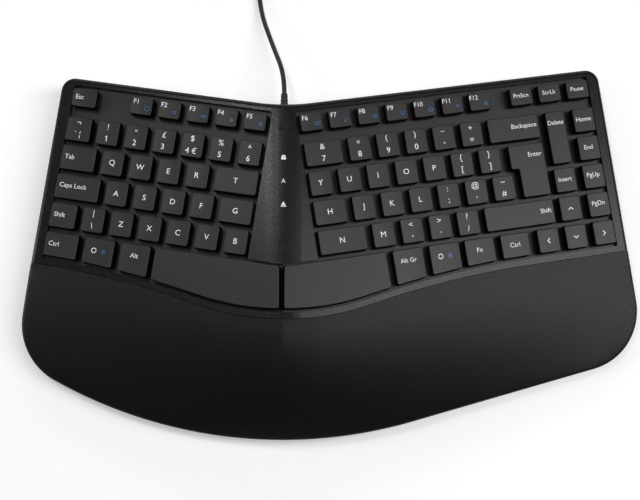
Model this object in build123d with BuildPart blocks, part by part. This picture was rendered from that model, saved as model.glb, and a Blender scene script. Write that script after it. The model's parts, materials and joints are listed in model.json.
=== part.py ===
from build123d import *
import math
import os

os.makedirs("parts", exist_ok=True)

# Posture of the two key blocks, in degrees
yaw_angle = 9.34
tent_angle = 7.17
key_slope = 2.5

# Overall outline, in millimetres, measured from the ridge point between the blocks
ridge_height = 51.0
left_reach = 157.0
right_reach = 224.35
rear_reach = 43.9
front_reach = 171.2
front_radius = 310.0
front_turn = 15.9
side_splay = 8.4
rear_corner_radius = 9.0
front_corner_radius = 41.0
rear_dip_radius = 100.0

# Casing
case_height = 6.5
case_wall = 2.4
case_floor = 2.2
case_edge_radius = 2.5
cover_depth = 5.5
cover_wall = 2.2
cover_edge_radius = 3.0
ridge_radius = 90.0
shell_gap = 0.3
overrun = 5.0
tall = 120.0
slack = 1.0

# Line between the top cover and the palm rest
trim_bottom = 94.5
trim_hump_radius = 162.0
trim_hump_angle = 19.0
trim_side_offset = 83.6
trim_blend_radius = 600.0
trim_band = 4.2
bar_front_offset = 5.9

# Palm rest
palm_wall = 2.5
palm_edge_radius = 2.4
lip_height_middle = 13.0
lip_height_left = 12.0
lip_height_right = 9.2
palm_overhang = 6.0
palm_stations = 25
palm_share = 1.15
area_share = 1.5
palm_crown_share = 0.55

# Keys
key_pitch = 19.0
row_pitch = 19.28
key_gap = 4.7
cap_depth = 15.8
function_cap_depth = 11.6
function_row_front = 23.1
cap_height = 5.2
cap_draft = 6.0
cap_corner_radius = 1.3
cap_edge_radius = 0.5
cap_wall = 1.2
cap_dish = 0.3
key_travel = 3.5
key_clearance = 0.3
left_block_start = -144.75
right_block_start = 15.8
left_bar_outer = -73.5
right_bar_outer = 57.5
left_bar_end = 2.4
right_bar_end = 1.1
guided_width = 30.0
guide_inset = 7.0
bar_guide_inset = 10.0

# Key frame, dome sheet, membrane and backing plate, as depths under the key tops
floor_depth = cap_height + key_travel + key_clearance
frame_floor = 1.2
frame_flange = 2.2
frame_rim = 1.2
membrane_depth = 13.5
membrane_thickness = 0.4
dome_sheet_thickness = 0.6
plate_thickness = 0.8
stem_size = 4.6
stem_depth = 8.4
sleeve_wall = 1.2
sleeve_top_depth = 5.4
dome_gap = 0.1
dome_radius = 3.9
dome_neck_radius = 2.2
dome_button_radius = 2.0
seam_gap = 0.6
dome_wall = 0.5

# Key wells in the top cover, in block coordinates
well_left_edge = 148.6
well_right_edge = 216.4
well_inner_edge = 14.3
well_rear_edge = 37.5
well_corner_radius = 2.0
bar_slot_rear = 60.0

# Feet and fasteners
foot_height = 1.5
foot_recess = 0.6
foot_radius = 6.0
screw_radius = 1.3
screw_head_radius = 2.6
screw_head_height = 1.6
screw_clearance = 0.2
boss_radius = 3.4
boss_top = 13.5
pillar_radius = 4.2
screw_grip = 6.0
screw_seat = 2.0
wall_screw_inset = 6.0
spine_join_height = 20.0
spine_screw_rear = 30.0
spine_screw_front = 47.0
rear_screw_places = [-80.0, 110.0]
palm_screw_places = [-135.0, -70.0, 0.0, 70.0, 135.0, 190.0]
palm_screw_inset = 9.0
case_low_top = foot_height + case_floor
left_pillar_places = [-35.0, -85.0, -142.0]
right_pillar_places = [35.0, 85.0, 130.0, 185.0]
pillar_rows = [-50.0, -5.0]
foot_spots = [
    (-141.0, 14.0),
    (-60.0, 38.0),
    (-143.0, -85.0),
    (-60.0, -140.0),
    (100.0, -133.0),
    (208.0, -75.0),
    (200.0, 50.0),
    (70.0, 40.0),
]

# Tilt feet
tilt_foot_width = 30.0
tilt_foot_length = 22.0
tilt_foot_thickness = 3.2
tilt_barrel_radius = 2.6
tilt_pin_radius = 1.5
tilt_pin_length = 1.6
tilt_clearance = 0.4
pin_clearance = 0.05
tilt_axis_height = 4.6
tilt_pocket_wall = 2.0
tilt_left_place = 116.0
tilt_right_place = 150.0
tilt_axis_inset = 12.0

# Indicator lights and the controller
light_radius = 1.2
light_pitch = 15.25
light_middle_offset = -0.5
light_clearance = 0.05
led_radius = 1.5
led_height = 3.0
board_width = 13.0
board_length = 62.0
board_thickness = 1.6
board_front_offset = 40.0
chip_size = 7.0
chip_height = 1.2
chip_spots = [(0.0, -20.0), (0.0, 0.0)]
board_low = 37.0
board_top = board_low + board_thickness
board_rear = board_length - board_front_offset
board_post_radius = 1.8
board_post_spots = [(0.0, -34.0), (0.0, 7.0)]
board_pillar_radius = 2.4
board_pillar_spots = [(0.0, -32.0), (0.0, 9.0)]

# Cable
cord_radius = 1.6
relief_height = 22.0
relief_radius = 2.9
relief_tip_radius = 2.2
relief_length = 13.0
relief_grip = 1.5
relief_slots = 3
relief_slot_pitch = 2.6
relief_slot_depth = 0.2
lead_bend_radius = 3.0
lead_straight = 4.5
lead_aside = 7.5
lead_under = 2.0
lead_end_aside = 2.0
lead_end_inset = 6.5
lead_rise = 7.0
relief_flange_radius = 4.4
relief_flange_thickness = 1.5
coil_turns_per_layer = 6
coil_mean_radius = 19.2
coil_pitch = 4.8
coil_layer_gap = 0.5
coil_start_y = 182.0
coil_tail = 26.0
free_share = 0.45
plug_length = 34.0
plug_boot_length = 9.0
plug_boot_radius = 2.6
plug_width = 16.0
plug_edge_radius = 2.0
plug_shell_width = 12.0
plug_shell_height = 4.5
plug_shell_length = 18.7
plug_shell_wall = 0.3
plug_tongue_height = 1.8
tie_width = 4.0
tie_thickness = 0.4
tie_clearance = 0.1
tie_room = 0.6
tie_corner_radius = 1.0
coil_low = cord_radius + tie_thickness + tie_clearance
coil_high = coil_low + 2 * cord_radius + coil_layer_gap


def tan_of(angle):
    return math.tan(math.radians(angle))


def sin_of(angle):
    return math.sin(math.radians(angle))


def cos_of(angle):
    return math.cos(math.radians(angle))


# Slopes of the tented planes away from the ridge and towards the rear
tilted_normal = Vector(0, 0, 1).rotate(Axis.X, key_slope)
tilted_normal = tilted_normal.rotate(Axis.Y, tent_angle).rotate(Axis.Z, yaw_angle)
side_fall = tilted_normal.X / tilted_normal.Z
rear_rise = -tilted_normal.Y / tilted_normal.Z


def trim_line(x):
    """Distance in front of the ridge point of the line between cover and palm rest."""
    reach = abs(x)
    hump_end = trim_hump_radius * sin_of(trim_hump_angle)
    if reach < hump_end:
        return trim_bottom - trim_hump_radius + math.sqrt(trim_hump_radius**2 - reach**2)
    apex = trim_bottom + trim_hump_radius * (1 / cos_of(trim_hump_angle) - 1)
    steep_rise = tan_of(trim_hump_angle)
    shallow_rise = tan_of(yaw_angle)
    meet = (apex - trim_side_offset) / (steep_rise - shallow_rise)
    run = trim_blend_radius * tan_of((trim_hump_angle - yaw_angle) / 2)
    blend_start = meet - run * cos_of(trim_hump_angle)
    blend_end = meet + run * cos_of(yaw_angle)
    if reach < blend_start:
        return apex - steep_rise * reach
    if reach > blend_end:
        return trim_side_offset - shallow_rise * reach
    centre_x = blend_start + trim_blend_radius * sin_of(trim_hump_angle)
    start_y = steep_rise * blend_start - apex
    centre_y = start_y - trim_blend_radius * cos_of(trim_hump_angle)
    return -centre_y - math.sqrt(trim_blend_radius**2 - (reach - centre_x) ** 2)


def front_line(x):
    """Distance in front of the ridge point of the outline's front edge."""
    tangent = front_radius * sin_of(front_turn)
    if x < tangent:
        return front_reach - front_radius + math.sqrt(front_radius**2 - x**2)
    at_tangent = front_reach - front_radius + front_radius * cos_of(front_turn)
    return at_tangent - tan_of(front_turn) * (x - tangent)


def cover_height(x, y, depth):
    """Height of the tented plane that lies a depth under the key tops."""
    half = ridge_radius * side_fall
    reach = abs(x)
    fall = side_fall * reach
    if reach < half:
        fall = side_fall * half / 2 + side_fall * reach**2 / (2 * half)
    return ridge_height - depth / tilted_normal.Z - fall + rear_rise * y


def outline_corners():
    """Corners of the plan outline from the ridge point, before they are rounded."""
    rise = tan_of(yaw_angle)
    splay = tan_of(side_splay)
    turn = tan_of(front_turn)
    dip = (0, rear_reach)
    rear_right_x = (right_reach - splay * rear_reach) / (1 + splay * rise)
    rear_right = (rear_right_x, rear_reach + rise * rear_right_x)
    tangent_x = front_radius * sin_of(front_turn)
    tangent_y = front_radius - front_reach - front_radius * cos_of(front_turn)
    corner_x = (right_reach - splay * (tangent_y - turn * tangent_x)) / (1 + splay * turn)
    front_right = (corner_x, tangent_y + turn * (corner_x - tangent_x))
    left_x = -left_reach
    for step in range(8):
        left_y = -front_line(left_x)
        left_x = -left_reach + splay * left_y
    front_left = (left_x, -front_line(left_x))
    rear_left_x = (left_reach - splay * rear_reach) / (1 + splay * rise)
    rear_left = (-rear_left_x, rear_reach + rise * rear_left_x)
    return dip, rear_right, front_right, (tangent_x, tangent_y), front_left, rear_left


def outline_sketch(place, inset):
    """The plan outline, drawn inside itself by the inset."""
    dip, rear_right, front_right, tangent, front_left, rear_left = outline_corners()
    with BuildSketch(place) as outline:
        with BuildLine():
            Polyline(front_left, rear_left, dip, rear_right, front_right, tangent)
            ThreePointArc(tangent, (0, -front_reach), front_left)
        make_face()
        rounds = [
            (dip, rear_dip_radius),
            (rear_right, rear_corner_radius),
            (rear_left, rear_corner_radius),
            (front_right, front_corner_radius),
            (front_left, front_corner_radius),
        ]
        for point, radius in rounds:
            corner = outline.vertices().sort_by_distance((*point, 0))[0]
            fillet(corner, radius)
        if inset > 0:
            offset(amount=-inset, mode=Mode.REPLACE)
    return outline.sketch


# The origin is under the middle of the outline, so the ridge point stands off it
footprint = outline_sketch(Plane.XY, 0).bounding_box()
ridge_x = -(footprint.min.X + footprint.max.X) / 2
ridge_y = -(footprint.min.Y + footprint.max.Y) / 2
outline_wire = outline_sketch(Plane(origin=(ridge_x, ridge_y, 0)), 0).face().outer_wire()
print("outline", footprint.size.X, footprint.size.Y, "ridge", ridge_x, ridge_y)


def place_at(height):
    """Horizontal plane at a height, with its origin under the ridge point."""
    return Plane(origin=(ridge_x, ridge_y, height))


def block_tops(side):
    """Plane of the key tops: side -1 is the left block and 1 the right one."""
    directions = []
    for start in (Vector(1, 0, 0), Vector(0, 0, 1)):
        turned = start.rotate(Axis.X, key_slope).rotate(Axis.Y, side * tent_angle)
        directions.append(turned.rotate(Axis.Z, side * yaw_angle))
    return Plane(origin=(ridge_x, ridge_y, ridge_height), x_dir=directions[0], z_dir=directions[1])


left_tops = block_tops(-1)
right_tops = block_tops(1)


def area_behind(place, line_shift):
    """Plan area behind the trim line, shifted to the rear, wider than the outline."""
    side = area_share * right_reach
    side_y = line_shift - trim_side_offset + tan_of(yaw_angle) * side
    rise = tan_of(trim_hump_angle) - tan_of(yaw_angle)
    apex = trim_bottom + trim_hump_radius * (1 / cos_of(trim_hump_angle) - 1)
    meet = (apex - trim_side_offset) / rise
    meet_y = line_shift - apex + tan_of(trim_hump_angle) * meet
    points = [(-side, side_y), (-meet, meet_y), (0, line_shift - apex), (meet, meet_y), (side, side_y)]
    radii = [trim_blend_radius, trim_hump_radius, trim_blend_radius]
    with BuildSketch(place) as area:
        with BuildLine():
            FilletPolyline(*points, radius=radii)
            Polyline(points[-1], (side, front_reach), (-side, front_reach), points[0])
        make_face()
    return area.sketch


def palm_sections(drop):
    """Closed profiles along the palm rest, whose tops fall from the cover to the lip."""
    sections = []
    for step in range(palm_stations):
        share = 2 * step / (palm_stations - 1) - 1
        x = share * palm_share * (left_reach if share < 0 else right_reach)
        lip_side = lip_height_left if share < 0 else lip_height_right
        lip = lip_height_middle + (lip_side - lip_height_middle) * min(abs(share), 1.0)
        trim_y = -trim_line(x)
        front_y = -front_line(x)
        top = cover_height(x, trim_y, cover_depth)
        back_y = trim_y + 2 * trim_band
        back = cover_height(x, back_y, cover_depth)
        crown_y = trim_y + (front_y - trim_y) * palm_crown_share
        crown = top + (top - back) / (2 * trim_band) * (trim_y - crown_y)
        end_y = front_y - palm_overhang
        low = case_height - overrun
        with BuildSketch(Plane.YZ.offset(ridge_x + x)) as section:
            with BuildLine():
                Bezier(
                    (ridge_y + trim_y, top - drop),
                    (ridge_y + crown_y, crown - drop),
                    (ridge_y + end_y, lip - drop),
                )
                Polyline(
                    (ridge_y + end_y, lip - drop),
                    (ridge_y + end_y, low - drop),
                    (ridge_y + back_y, low - drop),
                    (ridge_y + back_y, back - drop),
                    (ridge_y + trim_y, top - drop),
                )
            make_face()
        sections.append(section.sketch.face())
    return sections


def cut_in_front(line_shift):
    """Removes what lies in front of the shifted trim line from the part in hand."""
    keep = area_behind(place_at(-overrun), line_shift)
    extrude(keep, amount=tall + overrun, dir=(0, 0, 1), mode=Mode.INTERSECT)


def cut_behind(line_shift):
    """Removes what lies behind the shifted trim line from the part in hand."""
    away = area_behind(place_at(-overrun), line_shift)
    extrude(away, amount=tall + overrun, dir=(0, 0, 1), mode=Mode.SUBTRACT)


def cut_above_tops(depth):
    """Cuts the part in hand down to the two tented planes at a depth."""
    for tops in (left_tops, right_tops):
        split(bisect_by=tops.offset(-depth), keep=Keep.BOTTOM)


def on_ridge(edge):
    """True for the edge along the ridge between the tented planes."""
    middle = edge.center()
    return abs(middle.X - ridge_x) < cap_wall and edge.length > rear_reach




def plan_place(tops, u, v):
    """Where a spot on the key tops lies in plan, measured from the ridge point."""
    spot = tops.from_local_coords(Vector(u, v, 0))
    return spot.X - ridge_x, spot.Y - ridge_y


def bar_front(tops, u):
    """Front edge of the bottom row at u, along the shifted trim line."""
    v = -trim_side_offset
    for step in range(8):
        x, y = plan_place(tops, u, v)
        v += bar_front_offset - trim_line(x) - y
    return v


def plain_outline(left, right, front, rear):
    """Rounded rectangle of one key top in block coordinates."""
    with BuildSketch() as top:
        with Locations(((left + right) / 2, (front + rear) / 2)):
            RectangleRounded(right - left, rear - front, cap_corner_radius)
    return top.sketch


def seam_side(tops, x, v):
    """Block coordinate u at which row position v crosses the plan line x."""
    u = 0.0
    for step in range(8):
        u += x - plan_place(tops, u, v)[0]
    return u


def bottom_outline(tops, left, right, rear):
    """Top of a bottom row key, whose front follows the trim line."""
    middle = (left + right) / 2
    fronts = [bar_front(tops, u) for u in (left, middle, right)]
    bow = abs(fronts[1] - (fronts[0] + fronts[2]) / 2)
    with BuildSketch() as top:
        with BuildLine():
            if bow < cap_dish / 10:
                Line((left, fronts[0]), (right, fronts[2]))
            else:
                ThreePointArc((left, fronts[0]), (middle, fronts[1]), (right, fronts[2]))
            Polyline((right, fronts[2]), (right, rear), (left, rear), (left, fronts[0]))
        make_face()
        fillet(top.vertices(), cap_corner_radius)
    return top.sketch


def bar_outline(tops, outer, seam_x, rear):
    """Top of a space bar, from its outer end to the seam between the blocks."""
    rear_inner = seam_side(tops, seam_x, rear)
    inner = rear_inner
    for step in range(4):
        inner = seam_side(tops, seam_x, bar_front(tops, inner))
    hump_end = trim_hump_radius * sin_of(trim_hump_angle)
    joint = seam_side(tops, math.copysign(hump_end, outer), bar_front(tops, outer))
    middle = (joint + inner) / 2
    ends = [(u, bar_front(tops, u)) for u in (outer, joint, middle, inner)]
    with BuildSketch() as top:
        with BuildLine():
            Line(ends[0], ends[1])
            ThreePointArc(*ends[1:])
            Polyline(
                ends[3],
                (rear_inner, rear),
                (outer, rear),
                ends[0],
            )
        make_face()
        corners = top.vertices().filter_by(lambda v: abs(v.X - joint) > cap_wall)
        fillet(corners, cap_corner_radius)
    return top.sketch


def key_cap(outline, dish, stems):
    """Hollow key cap under an outline in block coordinates, with its stems."""
    size = outline.bounding_box()
    middle = size.center()
    inner_height = cap_height - cap_wall - dish
    with BuildPart() as cap:
        extrude(outline, amount=-cap_height, taper=-cap_draft)
        if dish > 0:
            bow = ((size.size.X / 2) ** 2 + dish**2) / (2 * dish)
            far = Plane.XZ.offset(-size.max.Y - cap_height)
            with BuildSketch(far) as hollow:
                with Locations((middle.X, bow - dish)):
                    Circle(bow + dish / 8)
            extrude(hollow.sketch, amount=size.size.Y + 2 * cap_height, mode=Mode.SUBTRACT)
        rim = cap.edges().filter_by(lambda e: e.center().Z > -cap_height / 4)
        fillet(rim, cap_edge_radius)
        with BuildSketch(Plane.XY.offset(-cap_wall - dish)) as inside:
            add(outline)
            offset(amount=-cap_wall, mode=Mode.REPLACE)
        extrude(inside.sketch, amount=-inner_height, mode=Mode.SUBTRACT)
        with BuildSketch(Plane.XY.offset(-cap_wall)) as posts:
            with Locations(*stems):
                Rectangle(stem_size, stem_size)
        extrude(posts.sketch, amount=cap_wall - stem_depth)
    return cap.part



# Row fronts in block coordinates, and where the bottom row starts at its rear
row_fronts = {
    "function": function_row_front,
    "number": 0.0,
    "upper": -row_pitch,
    "home": -2 * row_pitch,
    "lower": -3 * row_pitch,
}
bottom_rear = cap_depth - 4 * row_pitch


def letter_shares(first, count):
    """Start and width shares of keys one pitch wide, side by side."""
    return [(first + step, 1.0) for step in range(count)]


# Each key of a node: the row, and its start and width as shares of the key pitch
left_key_shares = {
    "escape_key": [("function", [(-0.1, 1.1)])],
    "left_function_keys": [("function", letter_shares(2.0, 5))],
    "left_number_keys": [("number", [(-0.1, 1.1)] + letter_shares(1.0, 6))],
    "tab_key": [("upper", [(-0.1, 1.45)])],
    "left_upper_letter_keys": [("upper", letter_shares(1.35, 4) + [(5.35, 1.7)])],
    "caps_lock_key": [("home", [(-0.1, 1.78)])],
    "left_home_letter_keys": [("home", letter_shares(1.68, 4) + [(5.68, 1.36)])],
    "left_shift_key": [("lower", [(-0.1, 1.14)])],
    "left_lower_letter_keys": [("lower", letter_shares(1.04, 6))],
    "left_ctrl_key": [("bottom", [(-0.1, 1.38)])],
    "left_system_key": [("bottom", [(1.28, 1.28)])],
    "left_alt_key": [("bottom", [(2.56, 1.26)])],
}
right_key_shares = {
    "right_function_keys": [("function", letter_shares(0.0, 7))],
    "screen_keys": [("function", [(7.505, 1.04), (8.55, 1.04), (9.6, 1.04)])],
    "right_number_keys": [("number", [(0.0, 1.51)] + letter_shares(1.51, 5))],
    "backspace_key": [("number", [(6.508, 2.09)])],
    "right_upper_letter_keys": [("upper", letter_shares(0.0, 7))],
    "right_home_letter_keys": [("home", [(0.0, 1.335)] + letter_shares(1.335, 6))],
    "right_lower_letter_keys": [("lower", [(0.0, 1.86)] + letter_shares(1.86, 4))],
    "right_shift_key": [("lower", [(5.86, 2.74)])],
    "alt_gr_key": [("bottom", [(2.43, 1.29)])],
    "right_system_key": [("bottom", [(3.71, 1.3)])],
    "fn_key": [("bottom", [(4.97, 1.28)])],
    "right_ctrl_key": [("bottom", [(6.265, 1.25)])],
    "left_arrow_key": [("bottom", [(7.6, 1.0)])],
    "down_arrow_key": [("bottom", [(8.62, 1.0)])],
    "right_arrow_key": [("bottom", [(9.66, 1.0)])],
    "up_arrow_key": [("lower", [(8.6, 1.0)])],
    "navigation_keys": [
        ("number", [(9.66, 1.0)]),
        ("upper", [(9.66, 1.0)]),
        ("home", [(8.6, 1.0), (9.65, 1.0)]),
        ("lower", [(9.65, 1.0)]),
    ],
}
delete_share = (8.65, 0.92)
enter_upper_share = 7.1
enter_lower_share = 7.385
enter_right_share = 8.353

stem_spots = {"left": [], "right": []}
guide_spots = {"left": [], "right": []}


def shaped_cap(side, outline, dish):
    """Cap under an outline, noting where its stem and guides meet the key frame."""
    size = outline.bounding_box()
    middle = size.center()
    stems = [(middle.X, middle.Y)]
    stem_spots[side].append(stems[0])
    if size.size.X > guided_width:
        reach = size.size.X / 2 - (guide_inset if dish > 0 else bar_guide_inset)
        guides = [(middle.X - reach, middle.Y), (middle.X + reach, middle.Y)]
        guide_spots[side].extend(guides)
        stems += guides
    return key_cap(outline, dish, stems)


def row_caps(side, tops, start, rows):
    """All caps of one node, placed on their block."""
    caps = []
    for row, shares in rows:
        for first, width in shares:
            left = start + first * key_pitch
            right = left + width * key_pitch - key_gap
            if row == "bottom":
                outline = bottom_outline(tops, left, right, bottom_rear)
            else:
                depth = function_cap_depth if row == "function" else cap_depth
                front = row_fronts[row]
                outline = plain_outline(left, right, front, front + depth)
            caps.append(tops.from_local_coords(shaped_cap(side, outline, cap_dish)))
    return caps


# Key caps that stand on the plain rows
for side, tops, start, table in (
    ("left", left_tops, left_block_start, left_key_shares),
    ("right", right_tops, right_block_start, right_key_shares),
):
    for name, rows in table.items():
        caps = row_caps(side, tops, start, rows)
        with BuildPart() as key_node:
            add(caps)
        key_node.part.label = name
        export_step(key_node.part, f"parts/{name}.step")

# Space bars, whose inner ends run along the seam
for side, tops, outer, seam_x in (
    ("left", left_tops, left_bar_outer, -left_bar_end),
    ("right", right_tops, right_bar_outer, right_bar_end),
):
    outline = bar_outline(tops, outer, seam_x, bottom_rear)
    bar = tops.from_local_coords(shaped_cap(side, outline, 0))
    with BuildPart() as space_bar:
        add(bar)
    space_bar.part.label = f"{side}_space_bar"
    export_step(space_bar.part, f"parts/{side}_space_bar.step")

# Delete key, two rows tall
delete_left = right_block_start + delete_share[0] * key_pitch
delete_right = delete_left + delete_share[1] * key_pitch - key_gap
delete_outline = plain_outline(delete_left, delete_right, row_fronts["upper"], cap_depth)
delete_cap = right_tops.from_local_coords(shaped_cap("right", delete_outline, cap_dish))
with BuildPart() as delete_key:
    add(delete_cap)
delete_key.part.label = "delete_key"
export_step(delete_key.part, "parts/delete_key.step")

# Enter key, with the step of the tall form
upper_left = right_block_start + enter_upper_share * key_pitch
lower_left = right_block_start + enter_lower_share * key_pitch
enter_right = right_block_start + enter_right_share * key_pitch
upper_front = row_fronts["upper"]
upper_rear = upper_front + cap_depth
with BuildSketch() as enter_outline:
    with BuildLine():
        Polyline(
            (upper_left, upper_rear),
            (enter_right, upper_rear),
            (enter_right, row_fronts["home"]),
            (lower_left, row_fronts["home"]),
            (lower_left, upper_front),
            (upper_left, upper_front),
            (upper_left, upper_rear),
        )
    make_face()
    fillet(enter_outline.vertices(), cap_corner_radius)
enter_cap = right_tops.from_local_coords(shaped_cap("right", enter_outline.sketch, cap_dish))
with BuildPart() as enter_key:
    add(enter_cap)
enter_key.part.label = "enter_key"
export_step(enter_key.part, "parts/enter_key.step")


def block_region(side, growth, seam, top_depth, low_depth):
    """Space under one key block, grown beyond its well, between two depths."""
    tops = left_tops if side < 0 else right_tops
    outer = (well_left_edge if side < 0 else well_right_edge) + growth
    inner = well_inner_edge - growth
    rear = well_rear_edge + growth
    slot_rear = growth - bar_slot_rear
    with BuildSketch(tops.offset(-top_depth)) as plan:
        with Locations((side * (outer + inner) / 2, (rear - tall) / 2)):
            Rectangle(outer - inner, rear + tall + slack)
        with Locations((0, (slot_rear - tall) / 2)):
            Rectangle(2 * tall, slot_rear + tall + slack)
        fillet(plan.vertices(), well_corner_radius)
    behind = area_behind(place_at(-overrun), trim_band - growth)
    seam_plane = Plane(origin=(ridge_x + side * seam, 0, 0), x_dir=(0, 1, 0), z_dir=(side, 0, 0))
    with BuildPart() as region:
        extrude(plan.sketch, amount=top_depth - low_depth)
        extrude(behind, amount=3 * tall, dir=(0, 0, 1), mode=Mode.INTERSECT)
        split(bisect_by=seam_plane, keep=Keep.TOP)
    return region.part


def block_posts(tops, spots, size, top_depth, low_depth):
    """Square posts at spots of a key block, between two depths."""
    with BuildPart() as posts:
        with BuildSketch(tops.offset(-top_depth)) as squares:
            with Locations(*spots):
                Rectangle(size, size)
        extrude(squares.sketch, amount=top_depth - low_depth)
    return posts.part


def on_palm_lip(edge):
    """True for the top edges of the palm rest along the casing's outline."""
    middle = edge.center()
    in_front = middle.Y - ridge_y < -trim_line(middle.X - ridge_x) - palm_wall
    return in_front and is_near_outline(middle) and middle.Z > case_height + slack


def is_near_outline(spot):
    """True for a spot whose plan place lies on the casing's outline."""
    flat_spot = Vertex(spot.X, spot.Y, 0)
    return flat_spot.distance_to(outline_wire) < palm_wall / 5


# Outer form of the top cover and the room inside it
with BuildPart() as cover_form:
    extrude(outline_sketch(place_at(case_height), 0), amount=tall)
    cut_above_tops(cover_depth)
    fillet(cover_form.edges().filter_by(on_ridge), ridge_radius)
    top_faces = cover_form.faces().filter_by(lambda f: f.normal_at().Z > cos_of(2 * tent_angle))
    rim = [e for e in cover_form.edges() if sum(e in f.edges() for f in top_faces) == 1]
    fillet(rim, cover_edge_radius)

with BuildPart() as cover_room:
    extrude(outline_sketch(place_at(case_height - overrun), case_wall), amount=tall)
    cut_above_tops(cover_depth + cover_wall)

# Outer form of the palm rest and the room inside it
with BuildPart() as palm_form:
    loft(sections=palm_sections(0), ruled=True)
    extrude(outline_sketch(place_at(case_height), 0), amount=tall, mode=Mode.INTERSECT)
    cut_behind(-shell_gap)
    fillet(palm_form.edges().filter_by(on_palm_lip), palm_edge_radius)

with BuildPart() as palm_room:
    loft(sections=palm_sections(palm_wall), ruled=True)
    room = outline_sketch(place_at(case_height - overrun), palm_wall)
    extrude(room, amount=tall, mode=Mode.INTERSECT)
    cut_behind(-shell_gap - palm_wall)

# Screw places in plan, measured from the ridge point
spine_screw_spots = [(0, spine_screw_rear), (0, -spine_screw_front)]
cover_screw_spots = [
    (x, rear_reach + tan_of(yaw_angle) * abs(x) - wall_screw_inset) for x in rear_screw_places
]
cover_screw_spots.append((wall_screw_inset - left_reach, 0))
palm_screw_spots = [(x, -trim_line(x) - palm_screw_inset) for x in palm_screw_places]


def round_columns(spots, radius, low, high):
    """Upright cylinders at plan spots between two heights."""
    with BuildPart() as columns:
        with BuildSketch(place_at(low)) as circles:
            with Locations(*spots):
                Circle(radius)
        extrude(circles.sketch, amount=high - low)
    return columns.part


spine_hole_top = spine_join_height + screw_grip
low_hole_top = case_height + screw_grip
spine_holes = round_columns(spine_screw_spots, screw_radius, spine_join_height, spine_hole_top)
cover_holes = round_columns(cover_screw_spots, screw_radius, case_height, low_hole_top)
palm_holes = round_columns(palm_screw_spots, screw_radius, case_height, low_hole_top)

# Screw bosses inside the top cover, tied to its walls
with BuildPart() as cover_bosses:
    add(round_columns(spine_screw_spots, boss_radius, spine_join_height, tall))
    add(round_columns(cover_screw_spots, boss_radius, case_height, boss_top))
    for x, y in cover_screw_spots:
        sideways = abs(y) < tilt_foot_length
        shift = (-wall_screw_inset / 2, 0) if sideways else (0, wall_screw_inset / 2)
        rib_size = (wall_screw_inset, boss_radius) if sideways else (boss_radius, wall_screw_inset)
        with BuildSketch(place_at(case_height)) as rib:
            with Locations((x + shift[0], y + shift[1])):
                Rectangle(*rib_size)
        extrude(rib.sketch, amount=boss_top - case_height)
    add(round_columns(board_post_spots, board_post_radius, board_top, tall))
    add(cover_form.part, mode=Mode.INTERSECT)
    add(spine_holes, mode=Mode.SUBTRACT)
    add(cover_holes, mode=Mode.SUBTRACT)

light_spots = [(0, light_middle_offset + light_pitch * step) for step in (-1, 0, 1)]
light_holes = round_columns(light_spots, light_radius + light_clearance, board_top, tall)
left_opening = block_region(-1, 0, -slack, -tall, cover_depth + 3 * cover_wall)
right_opening = block_region(1, 0, -slack, -tall, cover_depth + 3 * cover_wall)
rear_wall_y = rear_reach + rear_dip_radius * (1 / cos_of(yaw_angle) - 1)
relief_plane = Plane(
    origin=(ridge_x, ridge_y + rear_wall_y, relief_height), x_dir=(-1, 0, 0), z_dir=(0, 1, 0)
)

# Top cover
with BuildPart() as top_cover:
    add(cover_form.part)
    add(cover_room.part, mode=Mode.SUBTRACT)
    add(cover_bosses.part)
    cut_in_front(0)
    add(left_opening, mode=Mode.SUBTRACT)
    add(right_opening, mode=Mode.SUBTRACT)
    add(light_holes, mode=Mode.SUBTRACT)
    with BuildSketch(relief_plane) as relief_hole:
        Circle(relief_radius)
    extrude(relief_hole.sketch, amount=case_wall + overrun, both=True, mode=Mode.SUBTRACT)
top_cover.part.label = "top_cover"
export_step(top_cover.part, "parts/top_cover.step")
print("top cover", top_cover.part.is_valid, len(top_cover.part.solids()))

# Palm rest
with BuildPart() as palm_bosses:
    add(round_columns(palm_screw_spots, boss_radius, case_height, tall))
    add(palm_form.part, mode=Mode.INTERSECT)
    add(palm_holes, mode=Mode.SUBTRACT)

with BuildPart() as palm_rest:
    add(palm_form.part)
    add(palm_room.part, mode=Mode.SUBTRACT)
    add(palm_bosses.part)
palm_rest.part.label = "palm_rest"
export_step(palm_rest.part, "parts/palm_rest.step")
print("palm rest", palm_rest.part.is_valid, len(palm_rest.part.solids()))

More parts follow.
